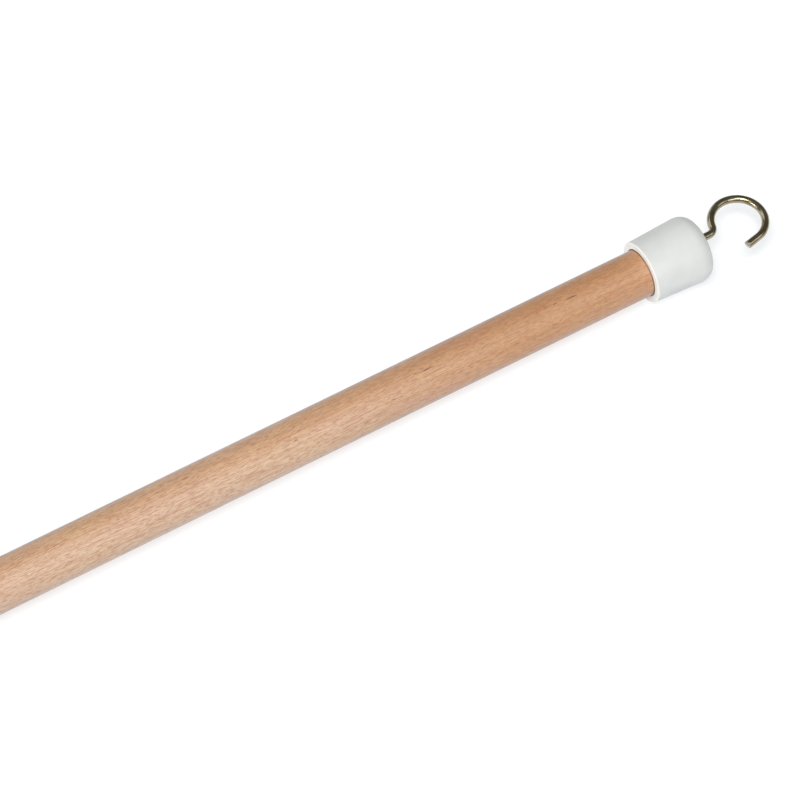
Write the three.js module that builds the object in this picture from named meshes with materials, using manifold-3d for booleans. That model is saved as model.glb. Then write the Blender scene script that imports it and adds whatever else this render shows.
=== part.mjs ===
// A hook pole: a round wooden pole with a push-on plastic tip on each end, and a wire screw hook
// that goes through the front tip into the wood. Millimetres. +X runs along the pole towards the
// hook, +Y is the side that the hook's neck bends to, +Z is up. The pole lies on its two tips on
// Z = 0, and the origin is under the middle of the whole length.
import * as THREE from "three";
import { mergeVertices } from "three/addons/utils/BufferGeometryUtils.js";
import Module from "manifold-3d";

// Pole: inch dowel, one inch thick and three feet long
const POLE_DIAMETER = 25.4;
const POLE_LENGTH = 914.4;
const POLE_CHAMFER = 1;

// Tip: the same moulding on both ends, a sleeve that widens towards a closed, rounded nose
const TIP_LENGTH = 34.5;
const TIP_RIM_DIAMETER = 33.4;
const TIP_NOSE_DIAMETER = 36.2;
const TIP_END_WALL = 4.2;
const TIP_SHOULDER_LENGTH = 7.1;
const TIP_SHOULDER_WIDTH = 4.6;
const TIP_RIM_ROUNDING = 0.5;
const TIP_MOUTH_CHAMFER = 0.4;

// Screw hook: one wire, straight shank, neck bend, round bow and a short straight end
const WIRE_DIAMETER = 4.2;
const BOW_DIAMETER = 28.2; // centre line of the wire
const NECK_BEND_RADIUS = 4.6;
const NECK_REACH = 8.4; // straight shank between the tip's nose and the neck bend
const BOW_END_ANGLE = THREE.MathUtils.degToRad(-78);
const HOOK_END_LENGTH = 7;
const HOOK_OFFSET = 2.4; // the shank is off the pole's axis, towards +Y

// Thread of the screw hook, in the wood
const PLAIN_SHANK_IN_WOOD = 5;
const THREAD_LENGTH = 18;
const THREAD_POINT_LENGTH = 5;
const THREAD_PITCH = 2.4;
const THREAD_DEPTH = 0.6;

// Room between touching pieces
const GAP = 0.3;
const THREAD_GAP = 0.25;

// Facets
const ROUND_SIDES = 32;
const SHANK_SIDES = 14;
const THREAD_SIDES = 6;
const SHOULDER_STEPS = 6;
const WIRE_STEP = 1.1;
const STEPS_A_TURN = 14;

// Places along the axis, from the pole's front end; the nose of the tip is at noseX
const noseX = GAP + TIP_END_WALL;
const rimX = noseX - TIP_LENGTH;
const neckX = noseX + NECK_REACH;
const wireRadius = WIRE_DIAMETER / 2;
const bowRadius = BOW_DIAMETER / 2;
const neckToBow = Math.sqrt((bowRadius + NECK_BEND_RADIUS) ** 2 - NECK_BEND_RADIUS ** 2);
const bowX = neckX + neckToBow;
const threadStartX = -PLAIN_SHANK_IN_WOOD;
const threadEndX = threadStartX - THREAD_LENGTH;

const wasm = await Module();
wasm.setup();

function solidOf(geometry) {
  const bare = geometry.index ? geometry.toNonIndexed() : geometry.clone();
  bare.deleteAttribute("normal");
  bare.deleteAttribute("uv");
  const merged = mergeVertices(bare, 1e-4);
  const vertProperties = merged.attributes.position.array;
  const triVerts = new Uint32Array(merged.index.array);
  return new wasm.Manifold(new wasm.Mesh({ numProp: 3, vertProperties, triVerts }));
}

function geometryOf(solid) {
  const mesh = solid.getMesh();
  const positions = new THREE.BufferAttribute(new Float32Array(mesh.vertProperties), 3);
  const geometry = new THREE.BufferGeometry().setAttribute("position", positions);
  geometry.setIndex(new THREE.BufferAttribute(mesh.triVerts, 1));
  const flat = geometry.toNonIndexed();
  flat.computeVertexNormals();
  return flat;
}

// Turns a profile of [x, radius] points about the X axis. The facets' middles, not their edges,
// lie on the stated radius, and one facet faces straight down.
function turned(profile, sides) {
  const toCorner = 1 / Math.cos(Math.PI / sides);
  const points = profile.map(([x, radius]) => new THREE.Vector2(radius * toCorner, x));
  return new THREE.LatheGeometry(points, sides, Math.PI / sides).rotateZ(-Math.PI / 2);
}

// The screw's outline, made larger all round by room: point, threaded core, plain shank to endX.
function screwOutline(room, endX) {
  const core = wireRadius - THREAD_DEPTH + room;
  return [
    [threadEndX - room, 0],
    [threadEndX + THREAD_POINT_LENGTH, core],
    [threadStartX, core],
    [threadStartX, wireRadius + room],
    [endX, wireRadius + room],
    [endX, 0],
  ];
}

// The thread's centre line: a helix on the surface of the core that follows the point inwards.
class ThreadLine extends THREE.Curve {
  getPoint(t, target = new THREE.Vector3()) {
    const x = threadEndX + t * THREAD_LENGTH;
    const angle = (2 * Math.PI * x) / THREAD_PITCH;
    const taper = Math.min(1, (x - threadEndX) / THREAD_POINT_LENGTH);
    const radius = (wireRadius - THREAD_DEPTH) * taper;
    return target.set(x, radius * Math.cos(angle), radius * Math.sin(angle));
  }
}

function circle(radius) {
  return new THREE.Shape().absarc(0, 0, radius, 0, 2 * Math.PI);
}

function swept(line, radius, sides, steps) {
  const settings = { extrudePath: line, steps, curveSegments: sides / 2 };
  return new THREE.ExtrudeGeometry(circle(radius), settings);
}

function threadRidge(room) {
  const steps = Math.round((THREAD_LENGTH / THREAD_PITCH) * STEPS_A_TURN);
  return swept(new ThreadLine(), THREAD_DEPTH + room, THREAD_SIDES, steps);
}

// The wire's route in the hook's plane, from inside the tip's end wall to the sheared end.
function wireRoute() {
  const neckTurn = Math.acos(NECK_BEND_RADIUS / (bowRadius + NECK_BEND_RADIUS));
  const bowStart = Math.PI / 2 + neckTurn;
  const endHeading = BOW_END_ANGLE - Math.PI / 2;
  const route = new THREE.Path();
  route.moveTo(noseX - TIP_END_WALL / 2, 0);
  route.lineTo(neckX, 0);
  route.absarc(neckX, NECK_BEND_RADIUS, NECK_BEND_RADIUS, -Math.PI / 2, neckTurn - Math.PI / 2);
  route.absarc(bowX, 0, bowRadius, bowStart, BOW_END_ANGLE, true);
  const { x, y } = route.currentPoint;
  route.lineTo(
    x + HOOK_END_LENGTH * Math.cos(endHeading),
    y + HOOK_END_LENGTH * Math.sin(endHeading),
  );
  return route;
}

function hookWire() {
  const route = wireRoute();
  const steps = Math.round(route.getLength() / WIRE_STEP);
  const points = route.getSpacedPoints(steps).map(({ x, y }) => new THREE.Vector3(x, y, 0));
  return swept(new THREE.CatmullRomCurve3(points), wireRadius, SHANK_SIDES, steps);
}

function screwHook() {
  const shank = turned(screwOutline(0, noseX - TIP_END_WALL / 4), SHANK_SIDES);
  const screw = solidOf(shank).add(solidOf(threadRidge(0)));
  return geometryOf(screw.add(solidOf(hookWire())));
}

// The space that the screw and its thread take up in the wood.
function screwHole() {
  const outline = turned(screwOutline(THREAD_GAP, POLE_CHAMFER), SHANK_SIDES);
  return solidOf(outline).add(solidOf(threadRidge(THREAD_GAP)));
}

// The pole, from its front end at x = 0 back to -POLE_LENGTH.
function pole() {
  const radius = POLE_DIAMETER / 2;
  const dowel = turned(
    [
      [-POLE_LENGTH, 0],
      [-POLE_LENGTH, radius - POLE_CHAMFER],
      [-POLE_LENGTH + POLE_CHAMFER, radius],
      [-POLE_CHAMFER, radius],
      [0, radius - POLE_CHAMFER],
      [0, 0],
    ],
    ROUND_SIDES,
  );
  return geometryOf(solidOf(dowel).subtract(screwHole().translate(0, HOOK_OFFSET, 0)));
}

// A closed tip, with its nose towards +X and the pole's end face at x = 0.
function tip() {
  const bore = POLE_DIAMETER / 2 + GAP;
  const rim = TIP_RIM_DIAMETER / 2;
  const nose = TIP_NOSE_DIAMETER / 2;
  const shoulderX = noseX - TIP_SHOULDER_LENGTH;
  const profile = [
    [GAP, 0],
    [GAP, bore],
    [rimX + TIP_MOUTH_CHAMFER, bore],
    [rimX, bore + TIP_MOUTH_CHAMFER],
    [rimX, rim - TIP_RIM_ROUNDING],
    [rimX + TIP_RIM_ROUNDING, rim],
  ];
  for (let step = 0; step <= SHOULDER_STEPS; step += 1) {
    const angle = (step / SHOULDER_STEPS) * (Math.PI / 2);
    const radius = nose - TIP_SHOULDER_WIDTH * (1 - Math.cos(angle));
    profile.push([shoulderX + TIP_SHOULDER_LENGTH * Math.sin(angle), radius]);
  }
  profile.push([noseX, 0]);
  return turned(profile, ROUND_SIDES);
}

// The front tip has a hole through its end wall for the hook's shank.
function piercedTip() {
  const length = 3 * TIP_END_WALL;
  const hole = new THREE.CylinderGeometry(wireRadius + GAP, wireRadius + GAP, length, SHANK_SIDES);
  hole.rotateZ(-Math.PI / 2).translate(GAP + TIP_END_WALL / 2, HOOK_OFFSET, 0);
  return geometryOf(solidOf(tip()).subtract(solidOf(hole)));
}

const wood = new THREE.MeshStandardMaterial({ color: 0xd4a886, roughness: 0.5, metalness: 0 });
const plastic = new THREE.MeshStandardMaterial({ color: 0xe8ebe9, roughness: 0.45, metalness: 0 });
const brass = new THREE.MeshStandardMaterial({ color: 0x8f8052, roughness: 0.3, metalness: 1 });

function piece(name, geometry, material) {
  const mesh = new THREE.Mesh(geometry, material);
  mesh.name = name;
  return mesh;
}

const hook = piece("screw_hook", screwHook(), brass);
hook.position.y = HOOK_OFFSET;

const rearTip = piece("rear_tip", tip(), plastic);
rearTip.position.x = -POLE_LENGTH;
rearTip.rotation.z = Math.PI;

// Everything is placed from the pole's front end, which is set so that X = 0 is half way along.
const frontReach = bowX + bowRadius + wireRadius;
const rearReach = POLE_LENGTH + noseX;
const hookPole = new THREE.Group();
hookPole.position.set((rearReach - frontReach) / 2, 0, TIP_NOSE_DIAMETER / 2);
hookPole.add(
  piece("pole", pole(), wood),
  piece("front_tip", piercedTip(), plastic),
  rearTip,
  hook,
);

export default hookPole;
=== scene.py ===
"""The looks of a hook pole: a beech dowel, two push-on tips and a plated wire screw hook."""
import math

import bpy
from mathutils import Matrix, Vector


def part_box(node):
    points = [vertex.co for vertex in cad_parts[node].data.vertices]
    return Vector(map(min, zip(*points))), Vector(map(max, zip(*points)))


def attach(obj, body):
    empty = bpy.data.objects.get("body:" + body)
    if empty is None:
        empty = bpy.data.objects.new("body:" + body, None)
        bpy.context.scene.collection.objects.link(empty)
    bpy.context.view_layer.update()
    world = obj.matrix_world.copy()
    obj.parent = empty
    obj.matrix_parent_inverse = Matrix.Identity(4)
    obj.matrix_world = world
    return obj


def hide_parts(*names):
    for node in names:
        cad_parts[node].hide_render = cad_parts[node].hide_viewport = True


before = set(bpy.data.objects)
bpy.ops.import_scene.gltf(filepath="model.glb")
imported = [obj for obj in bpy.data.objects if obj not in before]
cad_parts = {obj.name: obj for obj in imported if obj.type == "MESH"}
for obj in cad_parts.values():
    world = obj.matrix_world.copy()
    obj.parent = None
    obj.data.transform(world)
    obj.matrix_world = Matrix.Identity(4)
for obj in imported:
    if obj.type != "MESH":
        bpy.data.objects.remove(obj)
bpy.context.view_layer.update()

# ---- Sizes, in metres, that the CAD model has too -----------------------------------------------
MM = 0.001

pole_low, pole_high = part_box("pole")
tip_low, tip_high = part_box("front_tip")
_, rear_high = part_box("rear_tip")

AXIS_Z = (pole_low.z + pole_high.z) / 2
POLE_RADIUS = (pole_high.z - pole_low.z) / 2
POLE_FRONT = pole_high.x
POLE_REAR = pole_low.x
POLE_EDGE = 1.0 * MM

GAP = 0.3 * MM
NOSE_RADIUS = (tip_high.z - tip_low.z) / 2
TIP_LENGTH = tip_high.x - tip_low.x
TIP_END_WALL = tip_high.x - POLE_FRONT - GAP
RIM_RADIUS = 16.7 * MM
RIM_ROUNDING = 0.5 * MM
BORE_RADIUS = POLE_RADIUS + GAP
SHOULDER_LENGTH = 7.1 * MM
SHOULDER_WIDTH = 4.6 * MM

WIRE_RADIUS = 2.1 * MM
BOW_RADIUS = 14.1 * MM
NECK_RADIUS = 4.6 * MM
NECK_REACH = 8.4 * MM
BOW_END_ANGLE = math.radians(-78)
HOOK_END_LENGTH = 7 * MM
HOOK_OFFSET = 2.4 * MM
PLAIN_SHANK_IN_WOOD = 5 * MM
THREAD_LENGTH = 18 * MM
THREAD_POINT_LENGTH = 5 * MM
THREAD_PITCH = 2.4 * MM
THREAD_DEPTH = 0.6 * MM

THREAD_START = POLE_FRONT - PLAIN_SHANK_IN_WOOD
SCREW_POINT = THREAD_START - THREAD_LENGTH


# ---- Camera -------------------------------------------------------------------------------------
CAMERA_AZIMUTH = math.radians(-30.35)
CAMERA_ELEVATION = math.radians(56.6)
CAMERA_DISTANCE = 1.64
LENS = 149.06
SENSOR_WIDTH = 36
CLIP_START = 0.05
CLIP_END = 100
LOOK_BEHIND_RIM = 0.1454
LOOK_ASIDE = -0.0038


def add_camera():
    data = bpy.data.cameras.new("camera")
    data.lens = LENS
    data.sensor_width = SENSOR_WIDTH
    data.clip_start = CLIP_START
    data.clip_end = CLIP_END
    camera = bpy.data.objects.new("camera", data)
    bpy.context.scene.collection.objects.link(camera)
    target = Vector((tip_low.x - LOOK_BEHIND_RIM, LOOK_ASIDE, AXIS_Z))
    level = math.cos(CAMERA_ELEVATION)
    back = Vector((
        math.sin(CAMERA_AZIMUTH) * level,
        -math.cos(CAMERA_AZIMUTH) * level,
        math.sin(CAMERA_ELEVATION),
    ))
    camera.location = target + back * CAMERA_DISTANCE
    camera.rotation_euler = (-back).to_track_quat("-Z", "Y").to_euler()
    bpy.context.scene.camera = camera


# ---- Mesh helpers -------------------------------------------------------------------------------
ROUND_SIDES = 144
WIRE_SIDES = 48
ARC_STEPS = 8
ARC_SUPPORT = 0.12 * MM
SMALLEST_RADIUS = 1e-9


def rounded(corners):
    """Points of a profile whose corners (x, radius, rounding) are turned into arcs, with one more
    point on the straight at each side of an arc to keep the smooth shading on the arc."""
    points = []
    for index, (x, radius, rounding) in enumerate(corners):
        corner = Vector((x, radius))
        if not rounding:
            points.append(tuple(corner))
            continue
        before = (Vector(corners[index - 1][:2]) - corner).normalized()
        after = (Vector(corners[index + 1][:2]) - corner).normalized()
        half_angle = before.angle(after) / 2
        reach = rounding / math.tan(half_angle)
        centre = corner + (before + after).normalized() * rounding / math.sin(half_angle)
        start = corner + before * reach - centre
        end = corner + after * reach - centre
        points.append(tuple(corner + before * (reach + ARC_SUPPORT)))
        for step in range(ARC_STEPS + 1):
            turn = start.lerp(end, step / ARC_STEPS).normalized() * rounding
            points.append(tuple(centre + turn))
        points.append(tuple(corner + after * (reach + ARC_SUPPORT)))
    return points


def new_piece(name, vertices, faces, material):
    mesh = bpy.data.meshes.new(name)
    mesh.from_pydata(vertices, [], faces)
    mesh.validate()
    mesh.shade_smooth()
    mesh.materials.append(material)
    piece = bpy.data.objects.new(name, mesh)
    bpy.context.scene.collection.objects.link(piece)
    return piece


def join_rings(rings, closed=False):
    """Vertices and outward faces of a skin over rings; a ring of one point is a closed end."""
    vertices = []
    starts = []
    for points in rings:
        starts.append(len(vertices))
        vertices += points
    pairs = list(zip(range(len(rings)), range(1, len(rings))))
    if closed:
        pairs.append((len(rings) - 1, 0))
    faces = []
    for first, second in pairs:
        a, b = starts[first], starts[second]
        sides = max(len(rings[first]), len(rings[second]))
        for side in range(sides):
            after = (side + 1) % sides
            if len(rings[first]) == 1:
                faces.append((a, b + after, b + side))
            elif len(rings[second]) == 1:
                faces.append((a + side, a + after, b))
            else:
                faces.append((a + side, a + after, b + after, b + side))
    return vertices, faces


def ring(x, radius, aside=0.0):
    """A ring about the pole's axis, moved aside towards +Y; radius 0 gives one point."""
    if radius < SMALLEST_RADIUS:
        return [(x, aside, AXIS_Z)]
    angles = [2 * math.pi * side / ROUND_SIDES for side in range(ROUND_SIDES)]
    return [
        (x, aside + radius * math.cos(angle), AXIS_Z + radius * math.sin(angle))
        for angle in angles
    ]


# ---- Pole ---------------------------------------------------------------------------------------
POLE_RING_SPACING = 12 * MM
HOLE_EDGE = POLE_EDGE / 2


def make_pole(material):
    """The dowel, with eased ends and the pilot hole for the hook in its front end."""
    eased = rounded([
        (POLE_REAR, 0, 0),
        (POLE_REAR, POLE_RADIUS, POLE_EDGE),
        (POLE_FRONT, POLE_RADIUS, POLE_EDGE),
        (POLE_FRONT, 0, 0),
    ])
    rings = []
    for x, radius in eased[:-1]:
        if rings and x - rings[-1][0][0] > POLE_RING_SPACING:
            start = rings[-1][0][0]
            count = int((x - start) / POLE_RING_SPACING)
            for step in range(1, count):
                rings.append(ring(start + (x - start) * step / count, POLE_RADIUS))
        rings.append(ring(x, radius))
    hole = WIRE_RADIUS + GAP
    rings += [
        ring(POLE_FRONT, hole + HOLE_EDGE, aside=HOOK_OFFSET),
        ring(POLE_FRONT - HOLE_EDGE, hole, aside=HOOK_OFFSET),
        ring(THREAD_START, hole, aside=HOOK_OFFSET),
        ring(SCREW_POINT + THREAD_POINT_LENGTH, hole, aside=HOOK_OFFSET),
        ring(SCREW_POINT - GAP, 0, aside=HOOK_OFFSET),
    ]
    return new_piece("beech_pole", *join_rings(rings), material)


# ---- Tips ---------------------------------------------------------------------------------------
# The bore opens a little towards its mouth, between these distances from the rim
RELIEF_START = 1.8 * MM
RELIEF_END = 1.0 * MM
MOUTH_RELIEF = 0.12 * MM
RELIEF_ROUNDING = 0.15 * MM
MOUTH_ROUNDING = 0.2 * MM
BORE_END_ROUNDING = 0.25 * MM
SHOULDER_STEPS = 24
NOSE_FLAT_RADIUS = NOSE_RADIUS - SHOULDER_WIDTH
# The front nose's rings move aside with the hook's hole, in full from this share of the way in
FULLY_ASIDE_AT = 2 / 3

# Radii of the rings on the flat of each nose
FRONT_FLAT_RINGS = (13.3 * MM, 11 * MM, 8 * MM)
REAR_FLAT_RINGS = (13.3 * MM, 9 * MM)
# The lip round the front tip's hole: share of its height, and distance out from the hole
LIP_HEIGHT = 0.35 * MM
LIP_LINE = [
    (0.0, 3.2 * MM),
    (0.10, 2.2 * MM),
    (0.45, 1.4 * MM),
    (0.85, 0.85 * MM),
    (1.0, 0.5 * MM),
    (0.85, 0.2 * MM),
    (0.3, 0.0),
]
LIP_FIT = 0.08 * MM
# The moulding gate in the rear tip's nose: depth under the flat, and radius
GATE_LINE = [
    (0.0, 3.2 * MM),
    (0.05 * MM, 3.0 * MM),
    (0.4 * MM, 2.7 * MM),
    (0.45 * MM, 2.5 * MM),
    (0.45 * MM, 1.0 * MM),
    (0.42 * MM, 0.9 * MM),
    (0.12 * MM, 0.8 * MM),
    (0.08 * MM, 0.7 * MM),
    (0.10 * MM, 0.0),
]


def tip_outline():
    """The tip's outline from the edge of the bore's closed end, round the mouth and the rim, to
    the flat of the nose. Its x is the distance from the rim."""
    shoulder_start = TIP_LENGTH - SHOULDER_LENGTH
    line = rounded([
        (TIP_LENGTH - TIP_END_WALL, 0, 0),
        (TIP_LENGTH - TIP_END_WALL, BORE_RADIUS, BORE_END_ROUNDING),
        (RELIEF_START, BORE_RADIUS, RELIEF_ROUNDING),
        (RELIEF_END, BORE_RADIUS + MOUTH_RELIEF, RELIEF_ROUNDING),
        (0, BORE_RADIUS + MOUTH_RELIEF, MOUTH_ROUNDING),
        (0, RIM_RADIUS, RIM_ROUNDING),
        (shoulder_start, NOSE_RADIUS, 0),
    ])
    for step in range(1, SHOULDER_STEPS + 1):
        angle = step / SHOULDER_STEPS * math.pi / 2
        line.append((
            shoulder_start + SHOULDER_LENGTH * math.sin(angle),
            NOSE_RADIUS - SHOULDER_WIDTH * (1 - math.cos(angle)),
        ))
    return line[1:]


def tip_rings(nose_line, place, aside_at_nose=0.0):
    """Rings of a tip; place(x) puts a distance from the rim on the pole's axis."""
    rings = [ring(place(x), radius) for x, radius in tip_outline()]
    for x, radius in nose_line:
        inwards = 1 - radius / NOSE_FLAT_RADIUS
        aside = aside_at_nose * min(1, inwards / FULLY_ASIDE_AT)
        rings.append(ring(place(x), radius, aside=aside))
    return rings


def make_front_tip(material):
    """The pierced tip: the wire pushed through it has raised a small lip round the hole."""
    hole = WIRE_RADIUS + LIP_FIT
    nose_line = [(TIP_LENGTH, radius) for radius in FRONT_FLAT_RINGS]
    nose_line += [(TIP_LENGTH + LIP_HEIGHT * share, hole + out) for share, out in LIP_LINE]
    nose_line.append((TIP_LENGTH - TIP_END_WALL, hole))
    rings = tip_rings(nose_line, lambda x: tip_low.x + x, HOOK_OFFSET)
    return new_piece("front_tip_moulding", *join_rings(rings, closed=True), material)


def make_rear_tip(material):
    """The closed tip on the far end, with a sunken moulding gate in the middle of its nose."""
    nose_line = [(TIP_LENGTH, radius) for radius in REAR_FLAT_RINGS]
    nose_line += [(TIP_LENGTH - depth, radius) for depth, radius in GATE_LINE]
    rings = tip_rings(nose_line, lambda x: rear_high.x - x)
    rings.insert(0, ring(rear_high.x - TIP_LENGTH + TIP_END_WALL, 0))
    vertices, faces = join_rings(rings)
    return new_piece("rear_tip_moulding", vertices, [face[::-1] for face in faces], material)


# ---- Screw hook ---------------------------------------------------------------------------------
THREAD_STEP = 0.15 * MM
# Places on the plain shank, as shares of its length; the first is just clear of the thread
SHANK_SHARES = (0.01, 0.25, 0.5, 0.75)
NECK_STEPS = 24
BOW_STEPS = 160
HOOK_END_STEPS = 8

# The thread's crest stands out past the wire, and its ridge is this share of a pitch at each side
CREST_OUT = 0.08 * MM
RIDGE_HALF_WIDTH = 0.26
RIDGE_POWER = 0.8
RIDGE_RISE_LENGTH = 3 * MM
THREAD_RUN_OUT = 1.5 * MM

# The cut end's rings: distance out from the wire's end, and share of the wire's radius
CUT_EDGE_SHARE = 0.985
CUT_FLAT_SHARE = 0.92
CUT_RIDGE = 0.42 * MM
CUT_OUT = 0.2 * MM
CUT_RINGS = [
    (0.06 * MM, 1.0),
    (0.13 * MM, CUT_EDGE_SHARE),
    (0.18 * MM, 0.955),
    (CUT_OUT, CUT_FLAT_SHARE),
    (CUT_OUT, 0.75),
    (CUT_OUT, 0.5),
    (CUT_OUT, 0.25),
]


def wire_route():
    """(x, y, heading) along the wire from its screw point to its cut end, with x in the CAD frame
    and y from the shank's centre line."""
    neck_x = tip_high.x + NECK_REACH
    bow_x = neck_x + math.sqrt((BOW_RADIUS + NECK_RADIUS) ** 2 - NECK_RADIUS ** 2)
    neck_turn = math.acos(NECK_RADIUS / (BOW_RADIUS + NECK_RADIUS))
    bow_start = math.pi / 2 + neck_turn

    route = []
    thread_steps = int(THREAD_LENGTH / THREAD_STEP)
    for step in range(thread_steps + 1):
        route.append((SCREW_POINT + THREAD_LENGTH * step / thread_steps, 0.0, 0.0))
    for share in SHANK_SHARES:
        route.append((THREAD_START + (neck_x - THREAD_START) * share, 0.0, 0.0))
    for step in range(NECK_STEPS + 1):
        heading = neck_turn * step / NECK_STEPS
        route.append((
            neck_x + NECK_RADIUS * math.sin(heading),
            NECK_RADIUS * (1 - math.cos(heading)),
            heading,
        ))
    for step in range(1, BOW_STEPS + 1):
        angle = bow_start + (BOW_END_ANGLE - bow_start) * step / BOW_STEPS
        route.append((
            bow_x + BOW_RADIUS * math.cos(angle),
            BOW_RADIUS * math.sin(angle),
            angle - math.pi / 2,
        ))
    x, y, heading = route[-1]
    for step in range(1, HOOK_END_STEPS + 1):
        reach = HOOK_END_LENGTH * step / HOOK_END_STEPS
        route.append((x + reach * math.cos(heading), y + reach * math.sin(heading), heading))
    return route


def wire_radius(x, angle):
    """The wire's radius at x and an angle about the shank, with the screw's right-handed thread."""
    if x > THREAD_START:
        return WIRE_RADIUS
    from_point = x - SCREW_POINT
    core = (WIRE_RADIUS - THREAD_DEPTH) * min(1, from_point / THREAD_POINT_LENGTH)
    phase = ((x - POLE_FRONT) / THREAD_PITCH - angle / (2 * math.pi)) % 1
    from_crest = min(phase, 1 - phase)
    ridge = max(0, 1 - from_crest / RIDGE_HALF_WIDTH) ** RIDGE_POWER
    run_out = min(1, (THREAD_START - x) / THREAD_RUN_OUT)
    root = core + (WIRE_RADIUS - core) * (1 - run_out)
    return root + (WIRE_RADIUS + CREST_OUT - root) * ridge * min(1, from_point / RIDGE_RISE_LENGTH)


def wire_ring(x, y, heading, radius_at, out_at):
    """A ring across the wire: radius_at(angle) is its radius, and out_at(up) moves each point on
    along the wire by its height above the axis."""
    along = (math.cos(heading), math.sin(heading))
    side = (-along[1], along[0])
    points = []
    for index in range(WIRE_SIDES):
        angle = 2 * math.pi * index / WIRE_SIDES
        across = radius_at(angle) * math.cos(angle)
        up = radius_at(angle) * math.sin(angle)
        out = out_at(up)
        points.append((
            x + along[0] * out + side[0] * across,
            HOOK_OFFSET + y + along[1] * out + side[1] * across,
            AXIS_Z + up,
        ))
    return points


def cut_end(x, y, heading):
    """Rings over the cut end of the wire: a broken edge, then two flats that meet in a low ridge."""
    rings = []
    for out, share in CUT_RINGS:
        flat = (CUT_EDGE_SHARE - share) / (CUT_EDGE_SHARE - CUT_FLAT_SHARE)
        height = CUT_RIDGE * min(1, max(0, flat))
        rings.append(wire_ring(
            x,
            y,
            heading,
            lambda angle: WIRE_RADIUS * share,
            lambda up: out + height * (1 - min(1, abs(up) / WIRE_RADIUS)),
        ))
    top = CUT_OUT + CUT_RIDGE
    rings.append([(x + math.cos(heading) * top, HOOK_OFFSET + y + math.sin(heading) * top, AXIS_Z)])
    return rings


def make_hook(material):
    """One wire: screw point, thread, plain shank, neck bend, bow and cut end."""
    route = wire_route()
    rings = [[(SCREW_POINT, HOOK_OFFSET, AXIS_Z)]]
    for x, y, heading in route[1:]:
        rings.append(wire_ring(x, y, heading, lambda angle: wire_radius(x, angle), lambda up: 0))
    rings += cut_end(*route[-1])
    return new_piece("screw_hook_wire", *join_rings(rings), material)


# ---- Materials ----------------------------------------------------------------------------------
class Nodes:
    """A short way to write a node material."""

    def __init__(self, name):
        self.material = bpy.data.materials.new(name)
        self.material.use_nodes = True
        self.tree = self.material.node_tree
        self.tree.nodes.clear()

    def add(self, kind, inputs=(), **settings):
        node = self.tree.nodes.new("ShaderNode" + kind)
        for name, value in settings.items():
            setattr(node, name, value)
        for name, value in dict(inputs).items():
            socket = node.inputs[name]
            if isinstance(value, bpy.types.NodeSocket):
                self.tree.links.new(value, socket)
            else:
                socket.default_value = value
        return node

    def math(self, operation, first, second=0.0):
        return self.add("Math", {0: first, 1: second}, operation=operation).outputs[0]

    def vector(self, operation, first, second=(0, 0, 0)):
        node = self.add("VectorMath", {0: first, 1: second}, operation=operation)
        gives_number = operation in ("LENGTH", "DISTANCE", "DOT_PRODUCT")
        return node.outputs["Value" if gives_number else "Vector"]

    def position(self):
        return self.add("TexCoord").outputs["Object"]

    def parts(self, vector):
        return self.add("SeparateXYZ", {"Vector": vector}).outputs

    def stretched(self, vector, scale, turn=(0, 0, 0), move=(0, 0, 0)):
        inputs = {"Vector": vector, "Scale": scale, "Rotation": turn, "Location": move}
        return self.add("Mapping", inputs).outputs["Vector"]

    def noise(self, vector, detail=2.0, roughness=0.5, distortion=0.0):
        inputs = {
            "Vector": vector,
            "Scale": 1.0,
            "Detail": detail,
            "Roughness": roughness,
            "Distortion": distortion,
        }
        return self.add("TexNoise", inputs).outputs["Fac"]

    def ranged(self, value, low, high, out_low=0.0, out_high=1.0):
        inputs = {0: value, 1: low, 2: high, 3: out_low, 4: out_high}
        return self.add("MapRange", inputs, interpolation_type="SMOOTHSTEP").outputs[0]

    def mix(self, factor, first, second, blend="MIX"):
        node = self.add("Mix", data_type="RGBA", blend_type=blend, clamp_factor=True)
        sockets = {0: factor, 6: first, 7: second}
        for index, value in sockets.items():
            if isinstance(value, bpy.types.NodeSocket):
                self.tree.links.new(value, node.inputs[index])
            else:
                node.inputs[index].default_value = value
        return node.outputs[2]

    def tint(self, tone, mask, amount, paint):
        """The tone with some paint over it where the mask is."""
        return self.mix(self.math("MULTIPLY", mask, amount), tone, paint)

    def bump(self, height, distance, strength, normal=None):
        inputs = {"Height": height, "Distance": distance, "Strength": strength}
        if normal is not None:
            inputs["Normal"] = normal
        return self.add("Bump", inputs).outputs["Normal"]

    def finish(self, **inputs):
        named = {name.replace("_", " "): value for name, value in inputs.items()}
        shader = self.add("BsdfPrincipled", named)
        self.add("OutputMaterial", {"Surface": shader.outputs["BSDF"]})
        return self.material


def colour(red, green, blue):
    """A colour given in sRGB, 0 to 255, as linear RGBA."""
    def linear(value):
        value /= 255
        return value / 12.92 if value <= 0.04045 else ((value + 0.055) / 1.055) ** 2.4
    return (linear(red), linear(green), linear(blue), 1.0)


WOOD_PALE = colour(194, 153, 112)
WOOD_DARK = colour(188, 142, 99)
WOOD_PINK = colour(190, 146, 114)
WOOD_LINE = colour(156, 96, 68)
WOOD_RAY = colour(128, 74, 54)
WOOD_FLECK = colour(92, 38, 22)
# painted shade, for the line where each tip's rim meets the wood
RIM_LINE_SHADE = colour(70, 52, 38)
WOOD_SHEEN = (0.1, 0.57, 1.0, 1.0)
TIP_SHADE = colour(203, 205, 204)
TIP_WHITE = colour(208, 210, 209)
TIP_SMUDGE = colour(191, 193, 191)
# painted highlight on the tips' open rims
RIM_HIGHLIGHT_WHITE = colour(221, 220, 217)
BRASS_PALE = colour(168, 158, 136)
BRASS_OLIVE = colour(139, 126, 89)
BRASS_TARNISH = colour(104, 88, 48)
BARE_STEEL = colour(184, 172, 162)

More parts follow.
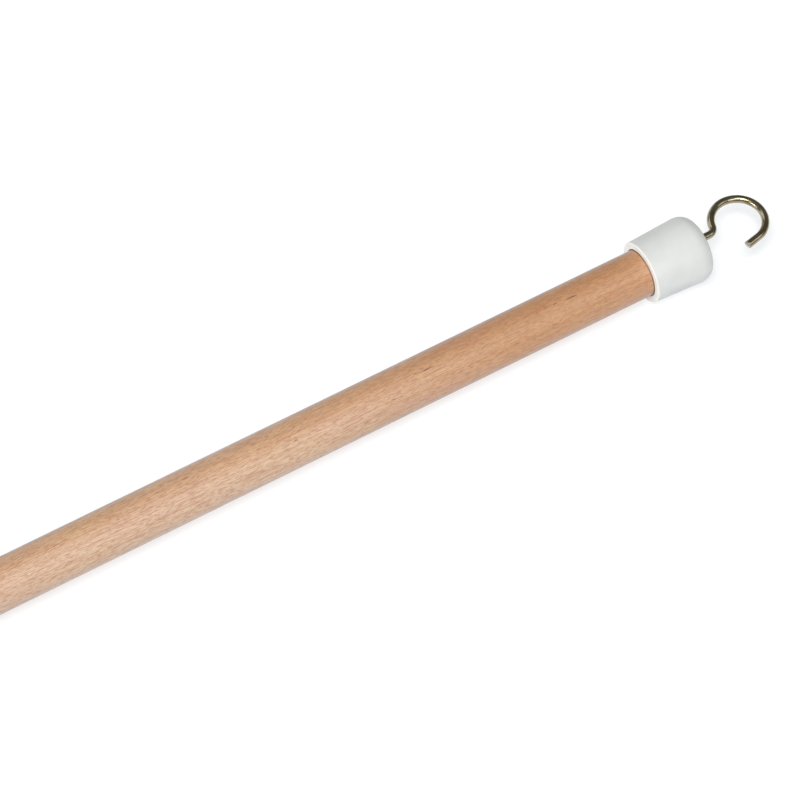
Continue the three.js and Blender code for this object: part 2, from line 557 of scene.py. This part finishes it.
# Painted reflection: multipliers that pale the wood far behind the front tip, more on its -Y side
PAINTED_VEIL_BACK = (1.19, 1.38, 1.65, 1.0)
PAINTED_VEIL_SIDE = (1.01, 1.11, 1.3, 1.0)
VEIL_START_BEHIND_RIM = 50 * MM
VEIL_FULL_BEHIND_RIM = 235 * MM

GRAIN_SLOPE = math.radians(0.6)
GRAIN_MOVE = (0.013, 0.021, 0.055)
# Sizes of the wood's patterns, as repeats in a metre along the pole and across it
WARP_SCALE = (3, 50, 50)
STREAK_SCALE = (55, 2100, 2100)
FIBRE_SCALE = (300, 3000, 3000)
SLOW_SCALE = (5, 60, 60)
BLUSH_SCALE = (11, 45, 45)
BLUSH_MOVE = (3.1, 0.4, 0.7)
RAY_SCALE = (330, 2300, 2300)
WAVE_SCALE = (14, 90, 90)
GROWTH_SCALE = (0, 160, 420)
GROWTH_TILT = math.radians(24)
GROWTH_WARP = 2.2

# Dark flecks: distance behind the rim, angle up from +Y, length, width, in mm
FLECKS = [
    (44, 100, 8.5, 0.9),
    (53, 97, 3.0, 0.6),
    (58, 140, 4.0, 0.55),
    (128.5, 103.5, 9.5, 0.85),
    (135, 101, 3.0, 0.5),
    (151, 132, 2.6, 0.5),
    (205, 118, 3.0, 0.45),
    (262, 84, 5.0, 0.6),
    (415, 95, 4.0, 0.5),
    (520, 150, 6.0, 0.6),
    (610, 75, 3.5, 0.5),
    (700, 120, 5.5, 0.6),
    (150, 250, 5.0, 0.6),
    (390, 215, 4.5, 0.5),
    (640, 300, 6.0, 0.6),
]
# Painted shade lies on the wood between these distances from each rim
SHADE_LINE_NEAR = 0.15 * MM
SHADE_LINE_FAR = 0.75 * MM
# Painted highlight: the plastic is whitest up to the first distance from each rim,
# and as elsewhere from the second
WHITEST_TO = 0.15 * MM
AS_ELSEWHERE_FROM = 0.6 * MM
# The cut end of the wire, told by distance from its middle and distance out along the wire
BARE_TO_RADIUS = 1.7 * MM
PLATED_FROM_RADIUS = 2.05 * MM
PLATED_TO = 0.10 * MM
BARE_FROM = 0.20 * MM


def fleck_mask(n, place):
    """Soft long spots where the flecks are."""
    mask = None
    for behind, angle, length, width in FLECKS:
        turn = math.radians(angle)
        centre = (
            tip_low.x - behind * MM,
            POLE_RADIUS * math.cos(turn),
            AXIS_Z + POLE_RADIUS * math.sin(turn),
        )
        offset = n.vector("SUBTRACT", place, centre)
        turned = n.stretched(offset, (1, 1, 1), turn=(0, 0, GRAIN_SLOPE))
        to_unit = (2 / (length * MM), 2 / (width * MM), 2 / (width * MM))
        squeezed = n.vector("MULTIPLY", turned, to_unit)
        near = n.ranged(n.vector("LENGTH", squeezed), 0.4, 1.1, 1.0, 0.0)
        mask = near if mask is None else n.math("MAXIMUM", mask, near)
    return mask


def beech():
    n = Nodes("beech")
    place = n.position()
    grain = n.stretched(place, (1, 1, 1), turn=(0, 0, GRAIN_SLOPE), move=GRAIN_MOVE)

    # faint growth rings that lie almost flat across the dowel
    warp = n.noise(n.stretched(grain, WARP_SCALE), detail=3)
    height = n.parts(n.stretched(grain, GROWTH_SCALE, turn=(GROWTH_TILT, 0, 0)))["Z"]
    in_ring = n.math("FRACT", n.math("ADD", height, n.math("MULTIPLY", warp, GROWTH_WARP)))
    late_wood = n.math("MULTIPLY", n.ranged(in_ring, 0.3, 0.95), n.ranged(in_ring, 0.95, 1, 1, 0))

    streaks = n.noise(n.stretched(grain, STREAK_SCALE), roughness=0.6)
    fibres = n.noise(n.stretched(grain, FIBRE_SCALE), detail=1, roughness=0.6)
    slow = n.noise(n.stretched(grain, SLOW_SCALE))
    blush = n.noise(n.stretched(grain, BLUSH_SCALE, move=BLUSH_MOVE))

    tone = n.mix(n.ranged(slow, 0.2, 0.8, 0.2, 0.8), WOOD_DARK, WOOD_PALE)
    tone = n.tint(tone, n.ranged(blush, 0.4, 0.75), 0.5, WOOD_PINK)

    # painted reflection: paler wood further back from the front tip, most of all on its -Y side
    along = n.parts(place)["X"]
    side = n.ranged(n.parts(place)["Y"], -POLE_RADIUS, 0.0, 1.0, 0.0)
    veil_full_x = tip_low.x - VEIL_FULL_BEHIND_RIM
    veil_start_x = tip_low.x - VEIL_START_BEHIND_RIM
    back = n.ranged(along, veil_full_x, veil_start_x, 1.0, 0.0)
    tone = n.mix(back, tone, PAINTED_VEIL_BACK, "MULTIPLY")
    tone = n.mix(n.math("MULTIPLY", back, side), tone, PAINTED_VEIL_SIDE, "MULTIPLY")
    tone = n.tint(tone, late_wood, 0.09, WOOD_LINE)
    tone = n.tint(tone, n.ranged(streaks, 0.45, 0.72), 0.5, WOOD_LINE)
    tone = n.tint(tone, n.ranged(fibres, 0.4, 0.75), 0.7, WOOD_LINE)

    # the short dark rays of beech, and the few larger flecks
    rays = n.add("TexVoronoi", {"Vector": n.stretched(grain, RAY_SCALE), "Scale": 1.0})
    shade = n.add("SeparateColor", {"Color": rays.outputs["Color"]}).outputs["Red"]
    ray = n.ranged(rays.outputs["Distance"], 0.12, 0.32, 1.0, 0.0)
    ray = n.math("MULTIPLY", ray, n.ranged(shade, 0.2, 1.0))
    tone = n.tint(tone, ray, 0.6, WOOD_RAY)
    ragged = n.math("MULTIPLY", fleck_mask(n, place), n.ranged(fibres, 0.3, 0.55, 0.55, 1.0))
    tone = n.tint(tone, ragged, 0.9, WOOD_FLECK)

    # a thin line of painted shade on the wood along each tip's rim
    front_rim_shade = n.ranged(along, tip_low.x - SHADE_LINE_FAR, tip_low.x - SHADE_LINE_NEAR)
    rear_rim_shade = n.ranged(along, rear_high.x + SHADE_LINE_NEAR, rear_high.x + SHADE_LINE_FAR, 1.0, 0.0)
    tone = n.tint(tone, n.math("MAXIMUM", front_rim_shade, rear_rim_shade), 0.6, RIM_LINE_SHADE)

    # pores, rays and flecks are sunk, and the lacquer is slightly wavy
    relief = n.math("MULTIPLY", n.ranged(fibres, 0.5, 0.8), -1.0)
    relief = n.math("SUBTRACT", relief, n.math("MULTIPLY", ray, 0.8))
    relief = n.math("SUBTRACT", relief, n.math("MULTIPLY", ragged, 1.5))
    normal = n.bump(relief, 0.04 * MM, 0.6)
    normal = n.bump(n.noise(n.stretched(place, WAVE_SCALE)), 0.2 * MM, 0.2, normal)
    worn = n.math("ADD", streaks, n.math("MULTIPLY", slow, 0.5))
    return n.finish(
        Base_Color=tone,
        Roughness=n.ranged(worn, 0.4, 1.0, 0.5, 0.6),
        Normal=normal,
        IOR=1.5,
        Coat_Weight=0.6,
        Coat_Roughness=0.46,
        Coat_IOR=1.5,
        Sheen_Weight=0.22,
        Sheen_Roughness=0.35,
        Sheen_Tint=WOOD_SHEEN,
    )


def tip_plastic():
    n = Nodes("tip_vinyl")
    place = n.position()
    slow = n.noise(n.stretched(place, (70, 70, 70)), detail=3)
    fine = n.noise(n.stretched(place, (2400, 2400, 2400)))
    smudge = n.noise(n.stretched(place, (180, 260, 260)), detail=4, roughness=0.6, distortion=0.4)
    tone = n.mix(n.ranged(slow, 0.3, 0.7), TIP_SHADE, TIP_WHITE)
    tone = n.tint(tone, n.ranged(smudge, 0.55, 0.8), 0.16, TIP_SMUDGE)

    # painted highlight: the open rims are made whiter than the rest
    along = n.parts(place)["X"]
    to_front = n.math("ABSOLUTE", n.math("SUBTRACT", along, tip_low.x))
    to_rear = n.math("ABSOLUTE", n.math("SUBTRACT", along, rear_high.x))
    to_rim = n.math("MINIMUM", to_front, to_rear)
    tone = n.mix(n.ranged(to_rim, WHITEST_TO, AS_ELSEWHERE_FROM, 1.0, 0.0), tone, RIM_HIGHLIGHT_WHITE)
    normal = n.bump(fine, 0.02 * MM, 0.5)
    normal = n.bump(slow, 0.3 * MM, 0.12, normal)
    return n.finish(
        Base_Color=tone,
        Roughness=n.ranged(smudge, 0.3, 0.75, 0.38, 0.55),
        Normal=normal,
        IOR=1.4,
        Subsurface_Weight=0.25,
        Subsurface_Radius=(0.004, 0.0036, 0.003),
        Subsurface_Scale=0.5,
    )


def plated_brass():
    n = Nodes("plated_brass")
    place = n.position()
    cloud = n.noise(n.stretched(place, (170, 170, 170)), detail=3, roughness=0.6)
    drawn = n.noise(n.stretched(place, (1200, 1200, 3200)))
    specks = n.noise(n.stretched(place, (1500, 1500, 1500)))
    tone = n.mix(n.ranged(cloud, 0.35, 0.7), BRASS_PALE, BRASS_OLIVE)
    tone = n.tint(tone, n.ranged(specks, 0.6, 0.8), 0.3, BRASS_TARNISH)

    # the cut end has no plating, and is less smooth
    end_x, end_y, heading = wire_route()[-1]
    end = (end_x, HOOK_OFFSET + end_y, AXIS_Z)
    outwards = (math.cos(heading), math.sin(heading), 0)
    out = n.vector("DOT_PRODUCT", n.vector("SUBTRACT", place, end), outwards)
    from_end = n.vector("DISTANCE", place, end)
    near_end = n.ranged(from_end, BARE_TO_RADIUS, PLATED_FROM_RADIUS, 1.0, 0.0)
    bare = n.math("MULTIPLY", n.ranged(out, PLATED_TO, BARE_FROM), near_end)
    tone = n.mix(bare, tone, BARE_STEEL)

    worn = n.math("ADD", cloud, n.math("MULTIPLY", specks, 0.4))
    rough = n.ranged(worn, 0.4, 0.95, 0.18, 0.27)
    normal = n.bump(drawn, 0.004 * MM, 0.15)
    normal = n.bump(cloud, 0.05 * MM, 0.04, normal)
    return n.finish(
        Base_Color=tone,
        Metallic=0.9,
        Roughness=n.math("ADD", rough, n.math("MULTIPLY", bare, 0.12)),
        Normal=normal,
        Coat_Weight=0.85,
        Coat_Roughness=0.16,
    )


FLOOR_DARK = (0.335, 0.35, 0.37, 1)
FLOOR_PALE = (0.34, 0.355, 0.375, 1)
FLOOR_GLOW = 0.64


def floor_paint():
    """A grey floor that glows evenly: it comes out white, with shadows as weak as the photo's."""
    n = Nodes("floor_white")
    mottle = n.noise(n.stretched(n.position(), (3, 3, 3)))
    return n.finish(
        Base_Color=n.mix(mottle, FLOOR_DARK, FLOOR_PALE),
        Roughness=0.85,
        Emission_Color=(1, 1, 1, 1),
        Emission_Strength=FLOOR_GLOW,
    )


# ---- Floor, light and world ---------------------------------------------------------------------
FLOOR_HALF = 40.0
WORLD_COLOUR = (1, 0.95, 0.6, 1)
WORLD_STRENGTH = 0.05
LAMP_WIDTH = math.radians(26)
# Name, degrees from straight up, degrees round from +X, strength
LAMPS = [
    ("key", 26, 226, 2.58),
    ("front", 50, 270, 0.58),
    ("along", 68, 180, 1.35),
    ("right", 50, 315, 0.28),
    ("back", 52, 114, 0.22),
    ("back_left", 76, 131, 0.22),
    ("low_back", 75, 90, 0.08),
]


def add_floor():
    corners = [(-1, -1), (1, -1), (1, 1), (-1, 1)]
    vertices = [(x * FLOOR_HALF, y * FLOOR_HALF, 0) for x, y in corners]
    new_piece("floor", vertices, [(0, 1, 2, 3)], floor_paint())


def add_lamp(name, from_zenith, azimuth, strength):
    """A wide soft lamp far away, placed by its angle from straight up and its turn from +X."""
    tilt = math.radians(from_zenith)
    turn = math.radians(azimuth)
    towards = Vector((
        math.sin(tilt) * math.cos(turn),
        math.sin(tilt) * math.sin(turn),
        math.cos(tilt),
    ))
    data = bpy.data.lights.new(name, "SUN")
    data.angle = LAMP_WIDTH
    data.energy = strength
    light = bpy.data.objects.new(name, data)
    light.rotation_euler = (-towards).to_track_quat("-Z", "Y").to_euler()
    bpy.context.scene.collection.objects.link(light)


def add_world():
    world = bpy.data.worlds.new("studio")
    world.use_nodes = True
    background = world.node_tree.nodes["Background"]
    background.inputs["Color"].default_value = WORLD_COLOUR
    background.inputs["Strength"].default_value = WORLD_STRENGTH
    bpy.context.scene.world = world


# ---- The scene ----------------------------------------------------------------------------------
add_camera()
wood = beech()
vinyl = tip_plastic()
brass = plated_brass()

pieces = [
    (make_pole(wood), "pole", "wood"),
    (make_front_tip(vinyl), "front_tip", "tip_plastic"),
    (make_rear_tip(vinyl), "rear_tip", "tip_plastic"),
    (make_hook(brass), "screw_hook", "hook_brass"),
]
for piece, node, slot in pieces:
    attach(piece, "root")
    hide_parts(node)

add_floor()
add_world()
for lamp in LAMPS:
    add_lamp(*lamp)
bpy.context.scene.view_settings.view_transform = "Standard"
